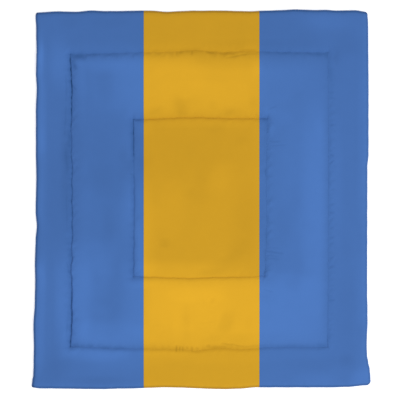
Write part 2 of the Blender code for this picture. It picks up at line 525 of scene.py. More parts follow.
def filled(x, y):
    """The face above a sewn place, how far swells reach there, and how much shade is painted there.

    Each side of a row lowers the wall by its tightness times an exponential of the distance over
    its reach, which varies along the row. The crown is the panel's loft, less each side's pull
    where its rise isn't whole yet. A side's pull may fade towards a row that it meets.
    """
    panels = panel_of(x, y)
    height, taken, deep = np.zeros_like(x), np.ones_like(x), np.zeros_like(x)
    for panel, loft in LOFT.items():
        here = panels == panel
        wall = np.ones(here.sum())
        crown = np.ones(here.sum())
        for seed, name, side in sides_of(panel):
            distance, along = beside(name, x[here], y[here])
            uneven = 1 + WALL_UNEVEN * ripple(along, WALL_UNEVEN_PITCH, WALL_SEED + seed)
            spread = np.maximum(uneven, WALL_LEAST)
            tight, pull = pulled(side, STANDS[name], loft, changed(HOLD_ALONG, name, along))
            pull = pull * changed(PULL_ALONG, f"{panel} {name}", along)
            wall *= 1 - tight * np.exp(-distance / (side["wall_reach"] * spread))
            crown *= 1 - pull * (1 - rise(distance, side["crown_reach"]))
            taken[here] *= rise(distance, side["swell_from"])
            deep[here] += painted_row_shade(name, side, distance, along, spread, seed)
        height[here] = WALL * wall + loft * crown
    return height, taken, deep


# %% [markdown]
# ## Swells, dents and creases
#
# Filling shifts inside a comforter. Where it has gathered the cloth swells, and where it has
# gone thin the cloth sinks. Noise would put such places anywhere, so these are set one by one in
# a table of soft round bumps. Each swell also has light painted into the colour, and each dent
# shade. Sharp creases, where the cloth has folded under the thread's pull, have a table of short
# troughs, with shade painted along them.

# %% Swells and dents
# The middle and the half sizes in millimetres, the height in tenths of one, the turn in degrees
SWELL_UNITS = {
    "across": 1000, "along": 1000, "half_length": 1000, "half_width": 1000,
    "height": 10000, "turn": 1, "squareness": 1,
}
# What a swell has where its row leaves it out
SWELL_USUAL = {"turn": 0, "squareness": 2}
SWELLS = {
    "ring": (
        # The ring's foot end, full from side to side
        (140, -680, 720, 250, 50, 0, 6), (-20, -570, 220, 60, 10, 0, 4),
        (-150, -620, 400, 200, 13, 0, 3), (155, -745, 100, 56, -18, 66, 3),
        (-88, -740, 130, 30, -14, 92, 3), (-155, -760, 100, 35, 8, 90),
        (-620, -860, 200, 50, 10, 0, 3), (240, -850, 400, 50, -6, 0, 3), (-660, -800, 170, 90, 14),
        (300, -740, 80, 30, -6, 90), (-80, -770, 60, 50, 10), (-370, -800, 80, 60, 10),
        (240, -830, 100, 50, -10), (-360, -515, 140, 45, 18), (-310, -840, 80, 40, 7),
        (80, -840, 70, 40, -8), (400, -600, 70, 50, -8),
        # Its lower left, with a hollow left inside
        (-760, -580, 440, 130, 50, 90), (-580, -820, 280, 110, 18, 0, 3),
        (-660, -420, 300, 140, 22, -66), (-720, -780, 140, 60, 9, 90),
        (-600, -680, 340, 240, 12, 90, 3), (-530, -610, 220, 150, -19, 90),
        (-380, -620, 220, 100, -10, 90), (-460, -440, 90, 60, 12, 90), (-600, -680, 90, 60, 10),
        (-740, -820, 60, 50, 8), (-640, -480, 70, 50, -8, 90), (-560, -440, 60, 50, 8),
        # Its left side, thin half way up
        (-640, -280, 80, 60, 12), (-600, 130, 190, 120, -10), (-600, 260, 300, 170, -8, 90),
        (-570, -140, 190, 60, -12, 95), (-450, -60, 220, 80, 16, 90), (-470, 200, 160, 60, -14, 90),
        (-580, -340, 170, 90, 14, 60), (-735, 640, 270, 45, 11, 90, 3),
        (-590, 690, 150, 80, -14, 90), (-720, -50, 300, 80, 10, 90), (-660, 720, 300, 140, 10, 90),
        (-620, 840, 260, 90, 22), (-450, 820, 160, 90, 8), (-745, 740, 170, 70, 16, 90),
        (-720, 850, 80, 50, 12), (-600, 760, 80, 50, -8), (-720, 190, 80, 40, 8, 90),
        (-430, 200, 70, 45, -12, 90), (-430, -30, 140, 35, 10, 90), (-560, 30, 110, 50, -7),
        (-480, 290, 60, 50, -7, 90), (-480, 40, 60, 50, -8, 90),
        # Its head end
        (0, 840, 100, 60, -12), (320, 800, 120, 60, 10, 90), (-160, 600, 60, 60, -8),
        (-40, 600, 80, 50, -7), (-80, 730, 640, 260, 48, 0, 4), (-125, 560, 80, 85, -16),
        (-280, 540, 80, 45, -14, 20), (65, 560, 40, 60, -9), (165, 530, 90, 50, -16),
        (305, 590, 40, 50, -10), (0, 690, 300, 35, 5), (340, 790, 80, 50, 11, 90),
        (500, 630, 100, 80, 7, 90), (160, 850, 460, 100, -20), (90, 740, 160, 120, -8),
        # Its right side, with a long crest beside the row
        (600, 120, 700, 260, 20, 90, 4), (690, -30, 800, 120, 24, 90, 3),
        (500, -160, 200, 90, -14, 90), (560, -10, 160, 70, -8, 90), (550, -520, 70, 60, -10),
        (560, 780, 260, 150, 20), (560, 680, 70, 60, 6), (400, 530, 70, 40, 18),
        (470, 500, 100, 80, 12), (415, 440, 90, 40, 18, 90), (715, 440, 120, 50, 10, 90),
        (700, -420, 110, 70, 10, 90), (500, -440, 130, 100, 8), (430, -440, 60, 40, 12, 90),
        (640, -420, 70, 50, 7, 90), (700, -680, 70, 50, 7, 90), (640, -160, 80, 50, -7, 90),
    ),
    "centre": (
        # The centre, thin above and fuller along its foot and left
        (-20, 280, 460, 220, -10, 0, 3), (280, -140, 320, 170, -13, 90),
        (230, -300, 130, 90, -8, 20), (-370, -180, 420, 120, 26, 90),
        (-100, -460, 480, 110, 30, 0, 3), (-340, -420, 140, 110, 14), (-210, -80, 260, 150, 10, 75),
        (120, 140, 150, 110, 14, 60), (-227.5, -266, 36, 36, -16, 0, 4), (-10, 60, 140, 80, -9, 80),
        (150, -400, 140, 60, -14), (200, -340, 90, 50, -8, 20), (-380, -280, 200, 40, 18, 90),
        (-385, 30, 160, 45, 12, 90), (-330, 240, 80, 60, -7, 90), (0, 470, 440, 40, 14, 0, 4),
        (60, -440, 120, 40, -19), (-370, -370, 140, 50, 10, 90), (-350, 440, 80, 70, 12),
        (-370, 220, 90, 40, -10, 90), (80, 430, 80, 45, -8), (240, 360, 70, 50, -8),
        (-80, 40, 60, 50, -7),
    ),
    "border": (
        # The border's left side
        (-984, 620, 500, 40, 36, 91, 4), (-984, 870, 150, 44, 38, 90), (-978, 360, 140, 40, 16, 90),
        (-975, -440, 90, 40, 12, 90), (-815, 280, 120, 45, -14, 90), (-800, 1080, 80, 60, -10),
        (-984, 20, 240, 40, 20, 90, 3), (-984, -720, 420, 50, 28, 89, 4),
        (-970, -460, 200, 50, 16, 88), (-845, -640, 400, 60, 26, 90, 3),
        (-870, 840, 220, 100, 34, 90), (-880, 0, 440, 100, -14, 90, 3),
        (-820, 220, 520, 50, -22, 90, 3), (-880, -640, 360, 100, 10, 90),
        (-880, -840, 160, 50, -10, 90), (-890, -1030, 160, 120, -17, 60),
        (-820, -840, 60, 40, 12, 90), (-820, -270, 60, 40, -8, 90),
        # Its head end, thin, and its right side
        (-100, 1030, 880, 120, -7, 0, 4), (460, 1020, 460, 130, -6, 0, 3),
        (340, 930, 500, 45, -15, 0, 3), (300, 930, 70, 40, 10), (640, 970, 140, 70, -6),
        (-560, 1080, 200, 50, -8), (740, 1080, 200, 80, 19), (880, 940, 150, 120, -14),
        (980, 340, 600, 46, 12, 90, 4), (975, -560, 280, 50, 8, 90, 4),
        (970, -800, 100, 40, -10, 90), (880, -300, 160, 50, -7, 90), (810, 120, 480, 60, 12, 90, 3),
        (885, -780, 400, 80, -10, 90, 3), (880, -980, 70, 60, -15), (960, -1080, 110, 80, 30, 30),
        (700, -1090, 180, 50, 14), (800, -960, 80, 50, -7, 90), (815, 870, 80, 40, -17, 90),
        (-480, -925, 80, 40, 9), (-970, 920, 60, 30, 10, 90),
        # Its foot end
        (-660, -945, 260, 60, 36), (-500, -990, 300, 80, 14), (0, -950, 800, 50, 8, 0, 4),
        (-790, -925, 80, 50, 20), (-380, -934, 420, 26, 14, 0, 4), (680, -1000, 240, 50, -10, 0, 3),
        (-610, -1095, 280, 42, -18),
    ),
}


def swollen(x, y):
    """The swells and dents, each a smooth bump that ends at its half sizes or its panel's rows.

    With u and v the places along and across it in half sizes, its height goes with
    (1 - |u|^s - |v|^s)^2, so a larger squareness s gives a wider flat top.
    """
    panels = panel_of(x, y)
    height = np.zeros_like(x)
    for panel, rows in SWELLS.items():
        for row in rows:
            swell = SWELL_USUAL | named(row, SWELL_UNITS)
            turn = np.radians(swell["turn"])
            dx = x - swell["across"]
            dy = y - swell["along"]
            u = abs(dx * np.cos(turn) + dy * np.sin(turn)) / swell["half_length"]
            v = abs(dy * np.cos(turn) - dx * np.sin(turn)) / swell["half_width"]
            inside = np.clip(1 - u ** swell["squareness"] - v ** swell["squareness"], 0, 1)
            height += np.where(panels == panel, swell["height"] * inside**2, 0)
    return height


# %% Creases
# The two ends and the half width in millimetres, the depth in tenths of one, and how dark the shade
# painted along it is in hundredths. One with no depth is only a band of painted shade
CREASE_UNITS = {
    "from_x": 1000, "from_y": 1000, "to_x": 1000, "to_y": 1000,
    "half_width": 1000, "depth": 10000, "deep": 100,
}
CREASES = (
    # Under the head outer row: ticks, folds that run into it, and a pleat at its right end
    (142, 856, 270, 872, 5, 20, 18), (230, 871, 340, 879, 4, 12, 13),
    (225, 899, 335, 899, 4, 0, 18), (20, 886, 90, 884, 8, 10, 24), (105, 884, 200, 882, 9, 10, 20),
    (-148, 894, -153, 866, 6, 10, 20), (-138, 886, -112, 884, 8, 8, 14),
    (-57, 894, -62, 862, 6, 10, 18), (-600, 885, -500, 884, 10, 8, 10),
    (-700, 886, -610, 888, 9, 6, 11), (-785, 880, -710, 879, 12, 6, 10),
    (-350, 868, 340, 868, 28, 0, 6), (-142, 885, 0, 887, 16, 0, 7), (-340, 903, 0, 905, 10, 0, 3),
    (340, 884, 780, 884, 11, 0, 7), (480, 886, 520, 885, 7, 0, 9), (640, 884, 730, 880, 12, 10, 8),
    (700, 886, 792, 882, 14, 10, 8), (744, 874, 790, 860, 14, 10, 9),
    # Across the foot outer row
    (125, -872, 200, -884, 5, 12, 18), (185, -874, 265, -888, 4, 12, 20),
    (250, -889, 400, -889, 4, 8, 11), (34, -886, 62, -884, 9, 8, 17),
    (50, -897, 160, -897, 8, 8, 13), (-146, -878, -149, -922, 5, 18, 34),
    (-126, -884, -128, -918, 4, 14, 30), (-110, -884, -108, -918, 4, 14, 28),
    (-80, -882, -84, -902, 5, 10, 16), (-54, -878, -50, -914, 6, 14, 22),
    (-30, -884, -10, -896, 6, 10, 16), (-788, -896, -738, -893, 11, 8, 12),
    (-734, -900, -700, -897, 9, 6, 11), (-696, -893, -650, -897, 10, 8, 9),
    (-605, -901, -545, -902, 8, 6, 13), (-535, -900, -455, -904, 9, 6, 11),
    (10, -893, 320, -893, 12, 0, 5), (440, -897, 760, -894, 7, 4, 5),
    (764, -893, 700, -886, 14, 14, 12), (770, -885, 776, -810, 10, 10, 8),
    # Beside the left outer row
    (-822, 780, -826, 600, 5, 14, 11), (-802, 860, -801, 620, 5, 6, 8),
    (-826, 590, -828, 380, 5, 12, 11), (-824, 330, -820, 140, 9, 10, 13),
    (-824, 90, -822, -200, 5, 10, 9), (-821, -380, -793, -465, 5, 16, 9),
    (-812, -672, -818, -854, 5, 12, 9), (-787, 879, -690, 873, 18, 24, 18),
    (-775, 860, -760, 790, 14, 16, 21), (-785, 700, -765, 672, 5, 12, 14),
    (-800, 430, -804, 310, 13, 0, 12), (-789.5, 720, -788.5, 640, 3, 0, 30),
    (-790.5, 585, -789.5, 520, 3, 0, 30), (-790.5, -560, -790, -640, 3, 0, 25),
    (-788.5, -690, -789.5, -760, 3, 0, 22), (-796, -290, -800, -400, 13, 0, 9),
    (-800, -360, -772, -352, 5, 12, 11),
    # Beside the left inner row
    (-418, 480, -416, 220, 12, 0, 17), (-408, 487, -360, 489, 9, 8, 22),
    (-438, 158, -408, 150, 6, 10, 14), (-426, 160, -428, -120, 7, 0, 6),
    (-411, -470, -356, -428, 6, 12, 5), (355, 488, 394, 486, 8, 6, 12),
    (-300, 488, -270, 489, 6, 0, 8), (10, 490, 80, 489, 6, 0, 6),
    # Beside and across the right inner row
    (388, 486, 397, 400, 10, 4, 8), (366, 486, 392, 468, 11, 4, 10), (378, 460, 380, 260, 4, 8, 5),
    (400, 300, 398, 200, 11, 0, 5), (390, 182, 398, 134, 9, 12, 16), (408, 110, 408, -20, 3, 6, 5),
    (394, -100, 400, -152, 10, 12, 12), (390, -180, 394, -296, 12, 6, 11),
    (386, -300, 392, -400, 10, 4, 9), (399, -395, 397, -458, 8, 6, 14),
    (390, -476, 398, -440, 9, 0, 16), (402, 352, 480, 350, 5, 16, 9),
    (414, 325, 520, 330, 5, 14, 7), (391, -322, 500, -336, 6, 24, 13),
    (397, -344, 476, -356, 5, 16, 7), (403, -364, 480, -372, 6, 15, 9),
    (396, -300, 470, -304, 4, 12, 5), (391, 543, 450, 566, 5, 14, 7),
    (385, -552, 445, -572, 5, 16, 7),
    # A band of painted shade beside the right outer row, and short dents where the cloth bunches
    # there
    (774, 866, 790, 700, 16, 0, 11), (788, 690, 792, 605, 14, 0, 5), (784, 590, 786, 500, 10, 0, 3),
    (788, 485, 790, 400, 12, 0, 4), (784, 390, 784, 315, 8, 0, 9), (788, 310, 792, 180, 12, 0, 4),
    (779, 190, 780, 50, 6, 0, 6), (786, 0, 788, -200, 12, 0, 3), (784, -225, 786, -305, 12, 0, 3),
    (780, -330, 782, -570, 11, 0, 3), (772, -560, 770, -880, 5, 0, 7),
    (784, -590, 786, -645, 13, 0, 5), (773, 700, 808, 696, 6, 6, 5), (773, 654, 806, 650, 5, 5, 5),
    (772, 618, 812, 614, 6, 8, 8), (776, 458, 800, 448, 9, 8, 8), (774, 300, 790, 292, 7, 6, 7),
    (780, 272, 804, 262, 7, 8, 8), (774, 212, 800, 232, 6, 6, 7), (773, -34, 806, -36, 6, 6, 5),
    (773, -80, 808, -88, 8, 8, 8), (773, -172, 802, -180, 7, 6, 7), (772, -238, 808, -236, 6, 6, 7),
    (770, -286, 806, -268, 7, 8, 8), (770, -330, 796, -326, 6, 5, 5),
    (768, -366, 804, -360, 7, 7, 7), (768, -424, 800, -410, 7, 8, 8),
    (768, -555, 800, -556, 6, 5, 5), (768, -620, 812, -620, 6, 8, 10),
    (770, -700, 806, -700, 6, 5, 4), (782, -780, 776, -870, 7, 6, 5),
    # Faint folds in the open cloth
    (-300, 526, -245, 566, 10, 6, 3), (-120, 494, -132, 600, 36, 0, 7),
    (-152, 530, -85, 508, 10, 6, 4), (130, 520, 200, 535, 16, 6, 4),
    (52, -628, 90, -600, 12, 12, 4), (0, -742, 90, -741, 4, 6, 3), (-80, 616, -85, 590, 10, 6, 1),
)
CREASES = [named(row, CREASE_UNITS) for row in CREASES]


def beside_crease(crease, x, y):
    """Distance from a crease's line, and the share of its length that each place is at."""
    way = np.array([crease["to_x"] - crease["from_x"], crease["to_y"] - crease["from_y"]])
    dx = x - crease["from_x"]
    dy = y - crease["from_y"]
    share = np.clip((dx * way[0] + dy * way[1]) / (way @ way), 0, 1)
    return np.hypot(dx - share * way[0], dy - share * way[1]), share


def creased(x, y):
    """How deep the creases cut, and how much shade is painted along them.

    Across each is a bell curve, and along it the root of half a sine, deepest half way.
    """
    cut = np.zeros_like(x)
    deep = np.zeros_like(x)
    for crease in CREASES:
        distance, share = beside_crease(crease, x, y)
        across = np.sqrt(np.sin(np.pi * share)) * np.exp(-((distance / crease["half_width"]) ** 2))
        cut += crease["depth"] * across
        deep += crease["deep"] * across
    return cut, deep


# %% Face and back
CREASE_FROM = 0.006
# Light painted into the colour per metre that a swell stands, and shade per metre that a dent sinks
PAINTED_LIGHT_PER_M = 40
RIM_REACH = 0.010
BACK_EDGE = 0.005
EDGE_REACH = 0.034
GROOVE = 0.0035
GROOVE_REACH = 0.036


def from_rows(x, y):
    """Distance from the nearest quilting row, and from the edge."""
    quilting = np.min([beside(row, x, y)[0] for row in ROWS if "edge" not in row], axis=0)
    edge = np.minimum(WIDTH / 2 - abs(x), LENGTH / 2 - abs(y))
    return quilting, edge


def smooth_face(x, y):
    """The face over the floor, the light and shade painted from its swells, and its painted shade.
    """
    height, taken, deep = filled(x, y)
    swell = swollen(x, y) * taken
    cut, crease_shade = creased(x, y)
    cut = cut * rise(from_rows(x, y)[0], CREASE_FROM)
    return SEWN_TOP + height + swell - cut, swell * PAINTED_LIGHT_PER_M, deep + crease_shade


def rim_of(x, y):
    """Nearness to the sewn edge: 1 on it, and a bell curve of the distance from it."""
    return np.exp(-((from_rows(x, y)[1] / RIM_REACH) ** 2))


def back_height(x, y):
    """The back: flat on the floor, lifted at the edge and drawn up under the rows."""
    quilting, edge = from_rows(x, y)
    return BACK_EDGE * (1 - rise(edge, EDGE_REACH)) + GROOVE * (1 - rise(quilting, GROOVE_REACH))


# %% [markdown]
# ## Gathers
#
# The thread pulls its row a little shorter. The cloth beside it keeps its length, so it buckles
# into small waves that fork and fade away from the row. Sines could draw them, but would look
# too even, so the cloth simulation makes them. Strips of the face are held along the rows and at
# their far sides, and the cloth next to the thread is told to be a few thousandths longer. Only
# the pattern of the waves is kept, and the table of sides says how high it stands.

# %% An even grid
GATHER_CELL = 0.008


def grid_quads(rows, columns):
    """The faces of a grid of points numbered row by row."""
    points = np.arange(rows * columns).reshape(rows, columns)
    corners = points[:-1, :-1], points[:-1, 1:], points[1:, 1:], points[1:, :-1]
    return np.stack([corner.ravel() for corner in corners], axis=1)


def even_grid():
    """Two arrays of design places, in rows and columns about GATHER_CELL apart."""
    columns = np.linspace(-WIDTH / 2, WIDTH / 2, round(WIDTH / GATHER_CELL) + 1)
    rows = np.linspace(-LENGTH / 2, LENGTH / 2, round(LENGTH / GATHER_CELL) + 1)
    return np.meshgrid(columns, rows)


# %% Strips of cloth beside the rows
STRIP_REACH = 0.060
HELD_CELLS = 0.6
SLACK = 0.004
SLACK_REACH = 0.030
SLACK_LEVELS = 20


def make_strips(x, y):
    """The grid's cells near a row or an edge as one cloth, and the numbers of the places it uses.

    Its points on the rows and at the strips' far sides are held. Each point's slack goes with a
    bell curve of its distance from the row, in a few levels, and the group holds 1 less that.
    """
    quads = grid_quads(*x.shape)
    x, y = x.ravel(), y.ravel()
    near = np.minimum(*from_rows(x[quads].mean(axis=1), y[quads].mean(axis=1))) < STRIP_REACH
    used, faces = np.unique(quads[near], return_inverse=True)
    x, y = x[used], y[used]
    points = np.column_stack([x, y, smooth_face(x, y)[0]])
    strips = surfaced("strips", points, faces.reshape(-1, 4))
    from_row = np.minimum(*from_rows(x, y))
    held = (from_row < HELD_CELLS * GATHER_CELL) | (from_row > STRIP_REACH - GATHER_CELL)
    strips.vertex_groups.new(name="held").add(np.flatnonzero(held).tolist(), 1, "REPLACE")
    taut = strips.vertex_groups.new(name="taut")
    levels = np.round(SLACK_LEVELS * (1 - np.exp(-((from_row / SLACK_REACH) ** 2))))
    for level in range(SLACK_LEVELS + 1):
        taut.add(np.flatnonzero(levels == level).tolist(), level / SLACK_LEVELS, "REPLACE")
    return strips, used


# %% The simulation
SETTLE_STEPS = 12
CLOTH_SETTINGS = {
    "quality": 3, "mass": 0.15, "tension_stiffness": 15, "compression_stiffness": 15,
    "shear_stiffness": 5, "bending_stiffness": 0.5, "vertex_group_mass": "held",
    "vertex_group_shrink": "taut", "shrink_min": -SLACK, "shrink_max": 0,
}


def settled(strips):
    """How far each point of the strips rises once the cloth has taken up its slack."""
    cloth = strips.modifiers.new("gathers", "CLOTH")
    for name, value in CLOTH_SETTINGS.items():
        setattr(cloth.settings, name, value)
    cloth.settings.effector_weights.gravity = 0
    cloth.collision_settings.use_collision = False
    cloth.point_cache.frame_start = 1
    cloth.point_cache.frame_end = SETTLE_STEPS
    for step in range(1, SETTLE_STEPS + 1):
        bpy.context.scene.frame_set(step)
    ready = strips.evaluated_get(bpy.context.evaluated_depsgraph_get()).data
    after, before = (np.empty(len(strips.data.vertices) * 3, dtype=np.float32) for _ in range(2))
    ready.vertices.foreach_get("co", after)
    strips.data.vertices.foreach_get("co", before)
    bpy.context.scene.frame_set(1)
    return (after - before)[2::3].astype(float)


# %% The pattern of the waves
MEAN_CELLS = 11
MOST_WAVE = 2.5


def make_waves():
    """The waves on the even grid, about 1 high, or nothing where the simulation is skipped.

    What the strips rise, less its running mean along the nearer kind of row, so that no long
    ridge is left, and over its own usual size.
    """
    x, y = even_grid()
    waves = np.zeros_like(x)
    strips, used = make_strips(x, y)
    waves.ravel()[used] = settled(strips)
    bpy.data.meshes.remove(strips.data)
    even = np.ones(MEAN_CELLS) / MEAN_CELLS
    means = [np.apply_along_axis(np.convolve, axis, waves, even, "same") for axis in (0, 1)]
    off_x, off_y = (
        np.min([beside(name, x, y)[0] for name, row in ROWS.items() if row[0] == way], axis=0)
        for way in "xy"
    )
    waves -= np.where(off_x < off_y, *means)
    waves /= waves[np.minimum(off_x, off_y) < SLACK_REACH].std()
    print("waves beside the rows:", len(used), "points simulated")
    return np.clip(waves, -MOST_WAVE, MOST_WAVE)


WAVES = make_waves()

# %% The waves between the grid's points


def spline_weights(share):
    """The weights of the four grid points round a place, at a share between the middle two."""
    rest = 1 - share
    inner = [4 - 6 * part**2 + 3 * part**3 for part in (share, rest)]
    return rest**3 / 6, inner[0] / 6, inner[1] / 6, share**3 / 6


def waves_at(x, y):
    """The waves at any places, from the 16 grid points round each, with cubic B-spline weights."""
    rows, columns = WAVES.shape
    column = (x / WIDTH + 0.5) * (columns - 1)
    row = (y / LENGTH + 0.5) * (rows - 1)
    total = np.zeros_like(x)
    for down, row_weight in enumerate(spline_weights(row % 1), -1):
        at_row = np.clip(row.astype(int) + down, 0, rows - 1)
        for right, column_weight in enumerate(spline_weights(column % 1), -1):
            at_column = np.clip(column.astype(int) + right, 0, columns - 1)
            total += WAVES[at_row, at_column] * row_weight * column_weight
    return total


# %% The gathers on the face
# How much the cloth gathers along some of the rows
GATHER_ALONG = {
    "foot outer": ((-0.79, 0.8), (0.2, 1), (0.4, 0.2), (0.77, 0.2)),
    "head outer": ((-0.79, 0.8), (0.2, 1), (0.4, 0.3), (0.77, 0.2)),
    "right outer": ((-0.9, 0.5), (-0.62, 0.7), (-0.4, 1), (0.45, 1), (0.52, 0.6), (0.89, 0.4)),
}
GATHER_USUAL = 0.7
GATHER_UNEVEN = 0.3
GATHER_UNEVEN_PITCH = 0.22
GATHER_LIMITS = (0.3, 1.1)
GATHER_SEED = 3
GATHER_SEED_STEP = 100


def gathered(x, y):
    """How high the gathers stand: nothing on a row, highest at the side's run, and then fading."""
    panels = panel_of(x, y)
    waves = waves_at(x, y)
    height = np.zeros_like(x)
    for panel in LOFT:
        here = panels == panel
        for seed, name, side in sides_of(panel):
            distance, along = beside(name, x[here], y[here])
            away = distance / side["run"]
            uneven = ripple(along, GATHER_UNEVEN_PITCH, GATHER_SEED_STEP * seed + GATHER_SEED)
            strength = np.clip(GATHER_USUAL + GATHER_UNEVEN * uneven, *GATHER_LIMITS)
            strength *= side["gather"] * changed(GATHER_ALONG, name, along)
            height[here] += strength * waves[here] * away * np.exp(1 - away)
    return height


def face_height(x, y):
    """The face with its gathers, the light and shade painted from its swells, and its painted
    shade.
    """
    height, painted_light, painted_shade = smooth_face(x, y)
    return height + gathered(x, y), painted_light, painted_shade


# %% [markdown]
# ## One closed surface
#
# The two cloths start as one flat grid each. Cells beside the rows and the edge are divided
# again, so that the small folds have points to stand on and the open cloth costs little. The
# edge itself is a short profile, carried round the outline from the face to the back. Two loose
# sheets would be quicker, but a closed surface casts true shadows and has a back.

# %% Flat grids
CELL = 0.018
EDGE_CELL = 0.016
ROW_CELL = 0.012
FINE_REACH = 0.026
FINE_CUTS = 3
CREASE_WIDTHS = 3
SNAP = 1e-6


def grid_lines(names):
    """The grid's lines: one on each guide, a short cell to its two sides, and then even cells."""
    across = guides(names)
    first = [EDGE_CELL, *[ROW_CELL] * (len(across) - 2), EDGE_CELL]
    lines = []
    for low, high, after, before in zip(across, across[1:], first, first[1:]):
        gaps = round((high - low - after - before) / CELL)
        lines += [low, *np.linspace(low + after, high - before, gaps + 1)]
    return np.array([*lines, across[-1]])


def near_crease(x, y):
    """Whether each place is within a few half widths of a crease that cuts in."""
    near = np.zeros(len(x), dtype=bool)
    for crease in CREASES:
        if crease["depth"] > 0:
            near |= beside_crease(crease, x, y)[0] < CREASE_WIDTHS * crease["half_width"]
    return near


def snapped(places, names):
    """Places within a micrometre of a guide put exactly on it."""
    across = guides(names)
    nearest = across[np.abs(places[:, None] - across).argmin(axis=1)]
    return np.where(abs(places - nearest) < SNAP, nearest, places)


def flat_grid(rows_reach):
    """A flat grid over the design, divided again along the edge and within rows_reach of a row.

    Returns the points' two design places and the faces as lists of point numbers.
    """
    x, y = np.meshgrid(grid_lines(ACROSS), grid_lines(ALONG))
    quads = grid_quads(*x.shape)
    x, y = x.ravel(), y.ravel()
    mesh = bpy.data.meshes.new("flat")
    mesh.from_pydata(np.column_stack([x, y, np.zeros_like(x)]), [], quads)
    middles = x[quads].mean(axis=1), y[quads].mean(axis=1)
    off_rows, off_edge = from_rows(*middles)
    divide = (off_rows < rows_reach) | (off_edge < CELL)
    if rows_reach:
        divide |= near_crease(*middles)
    cage = bmesh.new()
    cage.from_mesh(mesh)
    cage.faces.ensure_lookup_table()
    edges = {edge for face, chosen in zip(cage.faces, divide) if chosen for edge in face.edges}
    bmesh.ops.subdivide_edges(cage, edges=list(edges), cuts=FINE_CUTS, use_grid_fill=True)
    many_sided = [face for face in cage.faces if len(face.verts) > 4]
    bmesh.ops.triangulate(cage, faces=many_sided, ngon_method="BEAUTY")
    cage.to_mesh(mesh)
    cage.free()
    places = np.empty(len(mesh.vertices) * 3, dtype=np.float32)
    mesh.vertices.foreach_get("co", places)
    faces = [tuple(face.vertices) for face in mesh.polygons]
    bpy.data.meshes.remove(mesh)
    x, y, _ = places.reshape(-1, 3).astype(float).T
    return snapped(x, ACROSS), snapped(y, ALONG), faces


# %% The closed edge
# How far out each ring of the edge stands in metres, and its share of the height
EDGE_PROFILE = ((0.0011, 0.80), (0.0013, 0.62), (0.0004, 0.50), (0.0013, 0.38), (0.0011, 0.20))


def round_the_edge(x, y):
    """Numbers of the points on the outline, in order round it."""
    u = x / (WIDTH / 2)
    v = y / (LENGTH / 2)
    on_edge = np.flatnonzero((abs(u) == 1) | (abs(v) == 1))
    u, v = u[on_edge], v[on_edge]
    sides = [(v == -1) & (u < 1), (u == 1) & (v < 1), (v == 1) & (u > -1)]
    return on_edge[np.argsort(np.select(sides, [u + 1, v + 3, 5 - u], 7 - v))]


def edge_rings(upper, lower):
    """The edge's profile carried round the outline: a ring of points for each of its rows."""
    ahead = np.roll(upper, -1, axis=0) - np.roll(upper, 1, axis=0)
    outwards = np.column_stack([ahead[:, 1], -ahead[:, 0], np.zeros(len(ahead))])
    outwards /= np.linalg.norm(outwards, axis=1)[:, None]
    return [lower + (upper - lower) * share + outwards * out for out, share in EDGE_PROFILE]


def strip_faces(loops):
    """The faces between each closed loop of point numbers and the next."""
    strips = [
        np.column_stack([upper, lower, np.roll(lower, -1), np.roll(upper, -1)])
        for upper, lower in zip(loops, loops[1:])
    ]
    return np.concatenate(strips).tolist()


# %% The filled cloth


def counted(piece, *what):
    """Prints a piece's name, what it is made of and its number of triangles."""
    triangles = sum(len(face.vertices) - 2 for face in piece.data.polygons)
    print(piece.name, *what, triangles, "triangles")


def make_comforter():
    """Face, closed edge and back joined into one closed mesh, with its painted light and shade."""
    x, y, face_faces = flat_grid(FINE_REACH)
    z, painted_light, painted_shade = face_height(x, y)
    face = np.column_stack([*laid(x, y), z])
    rim = round_the_edge(x, y)
    near = rim_of(x, y)
    x, y, back_faces = flat_grid(0)
    back = np.column_stack([*laid(x, y), back_height(x, y)])
    back_rim = round_the_edge(x, y)
    plain = np.zeros(len(back))
    looks = {"painted_light": (painted_light, plain), "painted_shade": (painted_shade, plain), "rim": (near, rim_of(x, y))}
    rings = edge_rings(face[rim], back[back_rim])
    first = len(face) + len(back)
    numbers = np.arange(first, first + len(rings) * len(rim)).reshape(len(rings), -1)
    edge_faces = strip_faces([rim, *numbers, back_rim + len(face)])
    back_faces = [tuple(len(face) + point for point in reversed(each)) for each in back_faces]
    points = np.concatenate([face, back, *rings])
    piece = surfaced("comforter_cloth", points, face_faces + edge_faces + back_faces)
    front = len(face_faces) + len(edge_faces) // 2
    slots = np.arange(len(piece.data.polygons)) >= front
    piece.data.polygons.foreach_set("material_index", slots.astype(np.int32))
    for name, (on_face, on_back) in looks.items():
        values = np.concatenate([on_face, on_back, np.tile(on_face[rim], len(rings))])
        made = piece.data.attributes.new(name, "FLOAT", "POINT")
        made.data.foreach_set("value", values.astype(np.float32))
    piece.data.shade_smooth()
    counted(piece, len(points), "points,")
    return piece


comforter = make_comforter()

# %% [markdown]
# ## The quilting thread
#
# A row of quilting is one thread that dips through the cloth about every five millimetres, so it
# shows on both sides as a chain of short beads, each pulled down at its two ends. A picture of
# stitches would lie flat, so they are real ones. One bead is a grid of a few points round and
# along. It is repeated along each side of a rectangle, all in one array, and every bead is laid by
# the same functions that shaped the cloth, so none of them floats or sinks.

# %% Stitches round a rectangle
STITCH_PITCH = 0.0050
STITCH_LENGTH = 0.0042
THREAD_RADIUS = 0.00040
STITCH_ARCH = 0.0005
STITCH_ROUND = 6
# Share of the stitch's length and of the thread's radius at each ring of a bead
STITCH_RINGS = ((0.00, 0.35), (0.16, 0.90), (0.50, 1.00), (0.84, 0.90), (1.00, 0.35))


def round_the_row(rectangle):
    """Design places of the starts and ends of the stitches round a rectangle, in whole pitches."""
    left, right, foot, head = rectangle.values()
    corners = np.array([(left, foot), (right, foot), (right, head), (left, head), (left, foot)])
    starts = []
    ends = []
    for here, there in zip(corners, corners[1:]):
        count = round(np.abs(there - here).sum() / STITCH_PITCH)
        at = (np.arange(count)[:, None] + 0.5) / count
        half = STITCH_LENGTH / STITCH_PITCH / count / 2
        starts.append(here + (there - here) * (at - half))
        ends.append(here + (there - here) * (at + half))
    return np.concatenate(starts), np.concatenate(ends)


